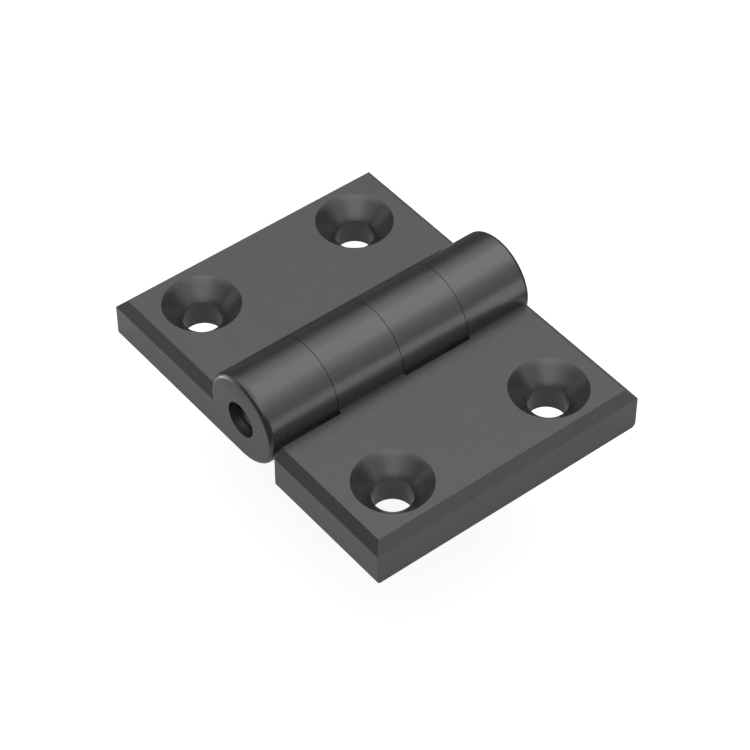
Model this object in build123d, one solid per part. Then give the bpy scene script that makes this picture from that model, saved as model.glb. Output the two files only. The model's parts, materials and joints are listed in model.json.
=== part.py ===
from build123d import *
import os

# A moulded butt hinge lying open flat, in millimetres. The pin runs along Y at X = 0, the leaves reach
# towards +X and -X, and their undersides lie at Z = 0. Both leaves are one moulding, turned half round.

# Leaves
hinge_length = 50.0
leaf_reach = 32.4
leaf_thickness = 7.55
edge_chamfer = 1.45
edge_round = 0.8

# Gap between the leaves' faces when the hinge is folded shut
fold_gap = 0.1

# Barrel: as many knuckles on one leaf as on the other, so that one mould makes both
knuckles_per_leaf = 2
knuckle_gap = 0.1
barrel_relief = 0.6

# Countersunk screw holes, two in each leaf
hole_diameter = 6.5
sink_diameter = 12.5
sink_angle = 90.0
hole_to_free_edge = 8.9
hole_to_end = 10.0

# Pin: pressed into the left leaf, running in the right leaf, its ends below the knuckles' ends
pin_diameter = 6.0
pin_recess = 1.75
pin_chamfer = 0.5
running_clearance = 0.05

# The folded faces meet at the pin's axis, and the barrel just touches the plane that the leaves lie on
axis_height = leaf_thickness + fold_gap / 2
knuckle_radius = axis_height
knuckle_pitch = hinge_length / (2 * knuckles_per_leaf)
pin_axis = Pos(0, 0, axis_height) * Rot(90, 0, 0)


def plate():
    """The flat of a leaf: chamfered above on its three free sides, rounded below at its two ends."""
    block = Box(leaf_reach, hinge_length, leaf_thickness, align=(Align.MIN, Align.CENTER, Align.MIN))
    rim = block.edges().group_by(Axis.Z)[-1].sort_by(Axis.X)
    block = chamfer(rim[1:], edge_chamfer)
    foot = block.edges().group_by(Axis.Z)[0].filter_by(Axis.X)
    return fillet(foot, edge_round)


def barrel():
    """The whole barrel in one length, rounded at both ends."""
    rod = pin_axis * Cylinder(knuckle_radius, hinge_length)
    return fillet(rod.edges().filter_by(GeomType.CIRCLE), edge_round)


def pockets():
    """Room for the other leaf's knuckles: every second stretch of the barrel, from the front one on."""
    width = 2 * (knuckle_radius + barrel_relief)
    for pair in range(knuckles_per_leaf):
        middle = (2 * pair + 0.5) * knuckle_pitch - hinge_length / 2
        yield Pos(0, middle, axis_height) * Box(width, knuckle_pitch + knuckle_gap, width)


def screw_holes():
    """Two countersunk holes in a line beside the free edge, one near each end."""
    along = hinge_length / 2 - hole_to_end
    for y in (-along, along):
        hole = CounterSinkHole(hole_diameter / 2, sink_diameter / 2, leaf_thickness, sink_angle)
        yield Pos(leaf_reach - hole_to_free_edge, y, leaf_thickness) * hole


def leaf(bore_diameter):
    """One leaf, reaching towards +X, with a bore for the pin through its knuckles."""
    moulding = plate() + barrel()
    bore = pin_axis * Cylinder(bore_diameter / 2, hinge_length)
    return moulding - [bore, *pockets(), *screw_holes()]


def pin():
    """The pin, chamfered at both ends."""
    rod = pin_axis * Cylinder(pin_diameter / 2, hinge_length - 2 * pin_recess)
    return chamfer(rod.edges().filter_by(GeomType.CIRCLE), pin_chamfer)


pieces = {
    "left_leaf": Rot(0, 0, 180) * leaf(pin_diameter),
    "right_leaf": leaf(pin_diameter + 2 * running_clearance),
    "hinge_pin": pin(),
}

os.makedirs("parts", exist_ok=True)
for name, solid in pieces.items():
    export_step(solid, f"parts/{name}.step")
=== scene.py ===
import json
import math

import bpy
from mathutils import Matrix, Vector


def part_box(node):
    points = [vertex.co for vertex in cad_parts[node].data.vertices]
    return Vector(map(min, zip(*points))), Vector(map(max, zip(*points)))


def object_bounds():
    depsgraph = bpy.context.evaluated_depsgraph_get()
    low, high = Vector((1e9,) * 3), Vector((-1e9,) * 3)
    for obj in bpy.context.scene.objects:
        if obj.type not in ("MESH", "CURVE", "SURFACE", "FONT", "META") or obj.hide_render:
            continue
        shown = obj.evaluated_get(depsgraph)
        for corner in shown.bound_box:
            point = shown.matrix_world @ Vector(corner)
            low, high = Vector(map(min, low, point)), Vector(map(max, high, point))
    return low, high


# A moulded plastic hinge, open flat above a pale floor. Metres, in the CAD's own frame, and degrees.

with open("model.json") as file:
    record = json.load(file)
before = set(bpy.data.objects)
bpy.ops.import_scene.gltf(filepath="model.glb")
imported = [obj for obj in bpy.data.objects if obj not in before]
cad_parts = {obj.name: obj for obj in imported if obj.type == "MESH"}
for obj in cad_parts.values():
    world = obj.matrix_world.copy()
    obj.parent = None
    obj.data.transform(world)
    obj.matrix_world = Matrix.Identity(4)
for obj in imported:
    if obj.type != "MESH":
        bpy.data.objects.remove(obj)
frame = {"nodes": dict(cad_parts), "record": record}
cad_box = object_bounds()

scene = bpy.context.scene
MM = 0.001

# The photograph's camera: where it looks, from which side, from how far, through which lens
AIM = Vector((3.24, -2.14, 5.0)) * MM
AZIMUTH = 51.44
ELEVATION = 46.08
DISTANCE = 421.1 * MM
LENS_MM = 133.3
SENSOR_MM = 36.0
CLIP_NEAR = 10 * MM
CLIP_FAR = 10 * DISTANCE

# The tiny radius that moulded and turned edges have, where faces meet at more than SHARP_FROM. Vertices
# nearer to each other than WELD_WITHIN count as one.
EDGE_RADIUS = 0.05 * MM
EDGE_STEPS = 2
SHARP_FROM = 30.0
WELD_WITHIN = 0.001 * MM

# Moulded nylon: dark grey, with the fine grain of a spark-eroded mould
PLASTIC_DARK = (0.0215, 0.0220, 0.0240)
PLASTIC_LIGHT = (0.0255, 0.0260, 0.0280)
PLASTIC_ROUGHNESS = (0.265, 0.285)
PLASTIC_IOR = 1.6
GRAIN_DEPTH = 0.002 * MM

# Drawn steel rod, its ends turned
STEEL_DARK = (0.46, 0.445, 0.42)
STEEL_LIGHT = (0.58, 0.56, 0.53)
STEEL_ROUGHNESS = (0.26, 0.42)
TURNED_RING = 0.11 * MM
RING_DEPTH = 0.003 * MM

# The noises of both: the size of their patches, and how many finer layers they have
MOTTLE = (3.0 * MM, 3.0)
GLOSS_PATCHES = (1.2 * MM, 4.0)
GRAIN = (0.16 * MM, 2.0)
STEEL_PATCHES = (0.6 * MM, 3.0)

# Where a noise's values mostly lie
NOISE_SPREAD = (0.3, 0.7)

# The studio's dome of soft light: a broad ring, brightest between two elevations, that fades evenly down to a
# dim band over the horizon and up to the zenith. All below the horizon is as bright as the horizon.
RING_LEVEL = 1.95
RING_BRIGHTEST = (52, 60)
DIM_LEVEL = 0.05
DIM_BAND = (5, 24)
HORIZON_LEVEL = 0.14
ZENITH_LEVEL = 0.5
ZENITH = 90

# Soft lamps far away: azimuth and elevation as for the camera, width, and level. A level of 1 lights a
# white surface that faces the lamp to white.
LAMPS = {
    "back_top": (178, 62, 40, 0.12),
    "back_low": (118, -3, 30, 0.14),
    "back_rim": (120, 20, 28, 0.04),
    "front_rim": (309, 12, 30, 0.052),
    "front_low": (295, -8, 24, 0.07),
    "front_below": (300, -28, 24, 0.175),
    "front_top": (50, 54, 46, 0.10),
}

# Where the lamps' objects stand. Their light comes from infinitely far, so it makes no difference.
LAMP_DISTANCE = 0.4

# The floor: it glows, so that the camera sees it white but for a faint shadow. It lies so low that a leaf
# which hangs straight down still clears it.
FLOOR_REACH = 1.0
FLOOR_DROP = 0.05 * MM
FLOOR_GLOW = 0.89

# The card: a sheet just under the hinge, which the hinge mirrors and the camera doesn't see. Its glow is a
# painted reflection: it shows only where the plastic mirrors the card, and lights nothing.
CARD_MARGIN = 8 * MM
CARD_DROP = 0.1 * MM
CARD_REFLECTION_GLOW = 0.37

# The colour of both sheets, and that of every glow
PALE = (0.30, 0.30, 0.30, 1.0)
WHITE = (1.0, 1.0, 1.0, 1.0)


def direction(azimuth, elevation):
    """A unit vector from the object. Azimuth 0 is towards -Y, the side of a camera that looks along +Y."""
    around, rise = math.radians(azimuth), math.radians(elevation)
    flat = math.cos(rise)
    return Vector((math.sin(around) * flat, -math.cos(around) * flat, math.sin(rise)))


def place(data, where, back):
    """An object for a camera or lamp that looks away from the direction back."""
    holder = bpy.data.objects.new(data.name, data)
    scene.collection.objects.link(holder)
    holder.location = where
    holder.rotation_mode = "QUATERNION"
    holder.rotation_quaternion = back.to_track_quat("Z", "Y")
    return holder


def node_maker(tree):
    """A function that adds a node to the tree, with its inputs linked where a socket is given, else set."""
    tree.nodes.clear()

    def add(kind, inputs=None, **settings):
        node = tree.nodes.new(kind)
        for key, value in settings.items():
            setattr(node, key, value)
        for key, value in (inputs or {}).items():
            if isinstance(value, bpy.types.NodeSocket):
                tree.links.new(value, node.inputs[key])
            else:
                node.inputs[key].default_value = value
        return node

    return add


def new_material(name):
    material = bpy.data.materials.new(name)
    material.use_nodes = True
    return material, node_maker(material.node_tree)


def noise(add, at, size, detail):
    return add("ShaderNodeTexNoise", {"Vector": at, "Scale": 1 / size, "Detail": detail}).outputs["Fac"]


def between(add, value, low, high):
    """A number that goes from low to high as the noise does."""
    least, most = NOISE_SPREAD
    span = {"Value": value, "From Min": least, "From Max": most, "To Min": low, "To Max": high}
    return add("ShaderNodeMapRange", span).outputs["Result"]


def blend_of(add, value, dark, light):
    """A colour that goes from dark to light as the noise does."""
    ramp = add("ShaderNodeValToRGB", {"Fac": value})
    for element, position, colour in zip(ramp.color_ramp.elements, NOISE_SPREAD, (dark, light)):
        element.position = position
        element.color = (*colour, 1.0)
    return ramp.outputs["Color"]


def plastic():
    """Dark satin nylon: a fine grain, and colour and gloss that wander a little over the moulding."""
    material, add = new_material("moulded_nylon")
    at = add("ShaderNodeTexCoord").outputs["Object"]
    grain = add("ShaderNodeBump", {"Height": noise(add, at, *GRAIN), "Distance": GRAIN_DEPTH})
    shader = add("ShaderNodeBsdfPrincipled", {
        "Base Color": blend_of(add, noise(add, at, *MOTTLE), PLASTIC_DARK, PLASTIC_LIGHT),
        "Roughness": between(add, noise(add, at, *GLOSS_PATCHES), *PLASTIC_ROUGHNESS),
        "IOR": PLASTIC_IOR,
        "Normal": grain.outputs["Normal"],
    })
    add("ShaderNodeOutputMaterial", {"Surface": shader.outputs["BSDF"]})
    return material


def steel(axis_height):
    """Bare steel rod, with the fine rings that turning leaves on its ends, round the pin's axis along Y."""
    material, add = new_material("turned_steel")
    at = add("ShaderNodeTexCoord").outputs["Object"]
    across = {0: at, 1: (1, 0, 1), 2: (0, 0, -axis_height)}
    from_axis = add("ShaderNodeVectorMath", across, operation="MULTIPLY_ADD").outputs["Vector"]
    radius = add("ShaderNodeVectorMath", {0: from_axis}, operation="LENGTH").outputs["Value"]
    turns = add("ShaderNodeMath", {0: radius, 1: 2 * math.pi / TURNED_RING}, operation="MULTIPLY")
    rings = add("ShaderNodeMath", {0: turns.outputs["Value"]}, operation="SINE").outputs["Value"]
    patches = noise(add, at, *STEEL_PATCHES)
    shader = add("ShaderNodeBsdfPrincipled", {
        "Base Color": blend_of(add, patches, STEEL_DARK, STEEL_LIGHT),
        "Metallic": 1.0,
        "Roughness": between(add, patches, *STEEL_ROUGHNESS),
        "Normal": add("ShaderNodeBump", {"Height": rings, "Distance": RING_DEPTH}).outputs["Normal"],
    })
    add("ShaderNodeOutputMaterial", {"Surface": shader.outputs["BSDF"]})
    return material


def finish_node(piece, material):
    """Gives a CAD node its material, and rounds its sharp edges as moulding and turning leave them."""
    for slot in piece.material_slots:
        slot.material = material
    piece.modifiers.new("one_skin", "WELD").merge_threshold = WELD_WITHIN
    edges = piece.modifiers.new("edges", "BEVEL")
    edges.width = EDGE_RADIUS
    edges.segments = EDGE_STEPS
    edges.limit_method = "ANGLE"
    edges.angle_limit = math.radians(SHARP_FROM)
    piece.modifiers.new("flat_faces", "WEIGHTED_NORMAL")


def seen(add):
    """1 for what the camera sees, straight or through glass."""
    path = add("ShaderNodeLightPath")
    rays = {0: path.outputs["Is Camera Ray"], 1: path.outputs["Is Transmission Ray"]}
    return add("ShaderNodeMath", rays, operation="MAXIMUM").outputs["Value"]


def painted_reflection_glow(add):
    """The card's glow, a painted reflection: it glows for what mirrors it, and is 0 for the rest."""
    glossy = add("ShaderNodeLightPath").outputs["Is Glossy Ray"]
    return add("ShaderNodeMath", {0: glossy, 1: CARD_REFLECTION_GLOW}, operation="MULTIPLY").outputs["Value"]


def sheet(name, margin, height, glow_for):
    """A level pale sheet, wider than the hinge by a margin on each side, which glows as glow_for says."""
    (left, front, _), (right, back, _) = cad_box
    left, right = left - margin, right + margin
    front, back = front - margin, back + margin
    corners = [(left, front), (right, front), (right, back), (left, back)]
    mesh = bpy.data.meshes.new(name)
    mesh.from_pydata([(x, y, height) for x, y in corners], [], [(0, 1, 2, 3)])
    piece = bpy.data.objects.new(name, mesh)
    scene.collection.objects.link(piece)
    material, add = new_material(name)
    lit = add("ShaderNodeBsdfDiffuse", {"Color": PALE})
    glowing = add("ShaderNodeEmission", {"Color": WHITE, "Strength": glow_for(add)})
    both = add("ShaderNodeAddShader", {0: lit.outputs["BSDF"], 1: glowing.outputs["Emission"]})
    add("ShaderNodeOutputMaterial", {"Surface": both.outputs["Shader"]})
    mesh.materials.append(material)
    return piece


def add_floor(axis_height):
    """The floor, which only the camera sees, below the free edge of a leaf that hangs from the pin."""
    leaf_reach = cad_box[1][0]
    floor = sheet("floor", FLOOR_REACH, axis_height - leaf_reach - FLOOR_DROP, lambda add: FLOOR_GLOW)
    floor.visible_diffuse = floor.visible_glossy = floor.visible_shadow = False


def add_card():
    card = sheet("card", CARD_MARGIN, -CARD_DROP, painted_reflection_glow)
    card.visible_camera = card.visible_transmission = False


def dome_profile():
    """Elevation and level wherever the dome's brightness bends, from the horizon up."""
    return (
        (0, HORIZON_LEVEL),
        (DIM_BAND[0], DIM_LEVEL),
        (DIM_BAND[1], DIM_LEVEL),
        (RING_BRIGHTEST[0], RING_LEVEL),
        (RING_BRIGHTEST[1], RING_LEVEL),
        (ZENITH, ZENITH_LEVEL),
    )


def add_sky():
    """White where the camera sees it, and otherwise the studio's dome of soft light."""
    world = bpy.data.worlds.new("sky")
    world.use_nodes = True
    add = node_maker(world.node_tree)
    ray = add("ShaderNodeSeparateXYZ", {"Vector": add("ShaderNodeTexCoord").outputs["Generated"]})
    rise = add("ShaderNodeMath", {0: ray.outputs["Z"]}, operation="ARCSINE").outputs["Value"]
    height = add("ShaderNodeMath", {0: rise, 1: 1 / math.radians(ZENITH)}, operation="MULTIPLY")
    curve = add("ShaderNodeFloatCurve", {"Value": height.outputs["Value"]})
    curve.mapping.extend = "HORIZONTAL"
    # A curve has two points from the start, its ends, and the rest are added between them
    bends = dome_profile()
    points = curve.mapping.curves[0].points
    for _ in bends[2:]:
        points.new(0.5, 0.0)
    for point, (elevation, level) in zip(points, bends):
        point.location = (elevation / ZENITH, level / RING_LEVEL)
        point.handle_type = "VECTOR"
    curve.mapping.update()
    strength = add("ShaderNodeMath", {0: curve.outputs["Value"], 1: RING_LEVEL}, operation="MULTIPLY")
    dome = add("ShaderNodeBackground", {"Color": WHITE, "Strength": strength.outputs["Value"]})
    white = add("ShaderNodeBackground", {"Color": WHITE, "Strength": 1.0})
    skies = {0: seen(add), 1: dome.outputs["Background"], 2: white.outputs["Background"]}
    mix = add("ShaderNodeMixShader", skies)
    add("ShaderNodeOutputWorld", {"Surface": mix.outputs["Shader"]})
    scene.world = world


def add_lamps():
    for name, (azimuth, elevation, width, level) in LAMPS.items():
        lamp = bpy.data.lights.new(name, "SUN")
        lamp.angle = math.radians(width)
        lamp.energy = level * math.pi
        away = direction(azimuth, elevation)
        place(lamp, away * LAMP_DISTANCE, away)


def add_camera():
    back = direction(AZIMUTH, ELEVATION)
    camera = bpy.data.cameras.new("camera")
    camera.sensor_width = SENSOR_MM
    camera.lens = LENS_MM
    camera.clip_start = CLIP_NEAR
    camera.clip_end = CLIP_FAR
    scene.camera = place(camera, AIM + back * DISTANCE, back)


add_camera()
pin_low, pin_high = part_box("hinge_pin")
axis_height = (pin_low[2] + pin_high[2]) / 2
finishes = {"leaf": plastic(), "pin": steel(axis_height)}
for part in frame["record"]["subparts"]:
    finish_node(frame["nodes"][part["node"]], finishes[part["material_slot"]])
add_floor(axis_height)
add_card()
add_sky()
add_lamps()

scene.view_settings.view_transform = "Standard"
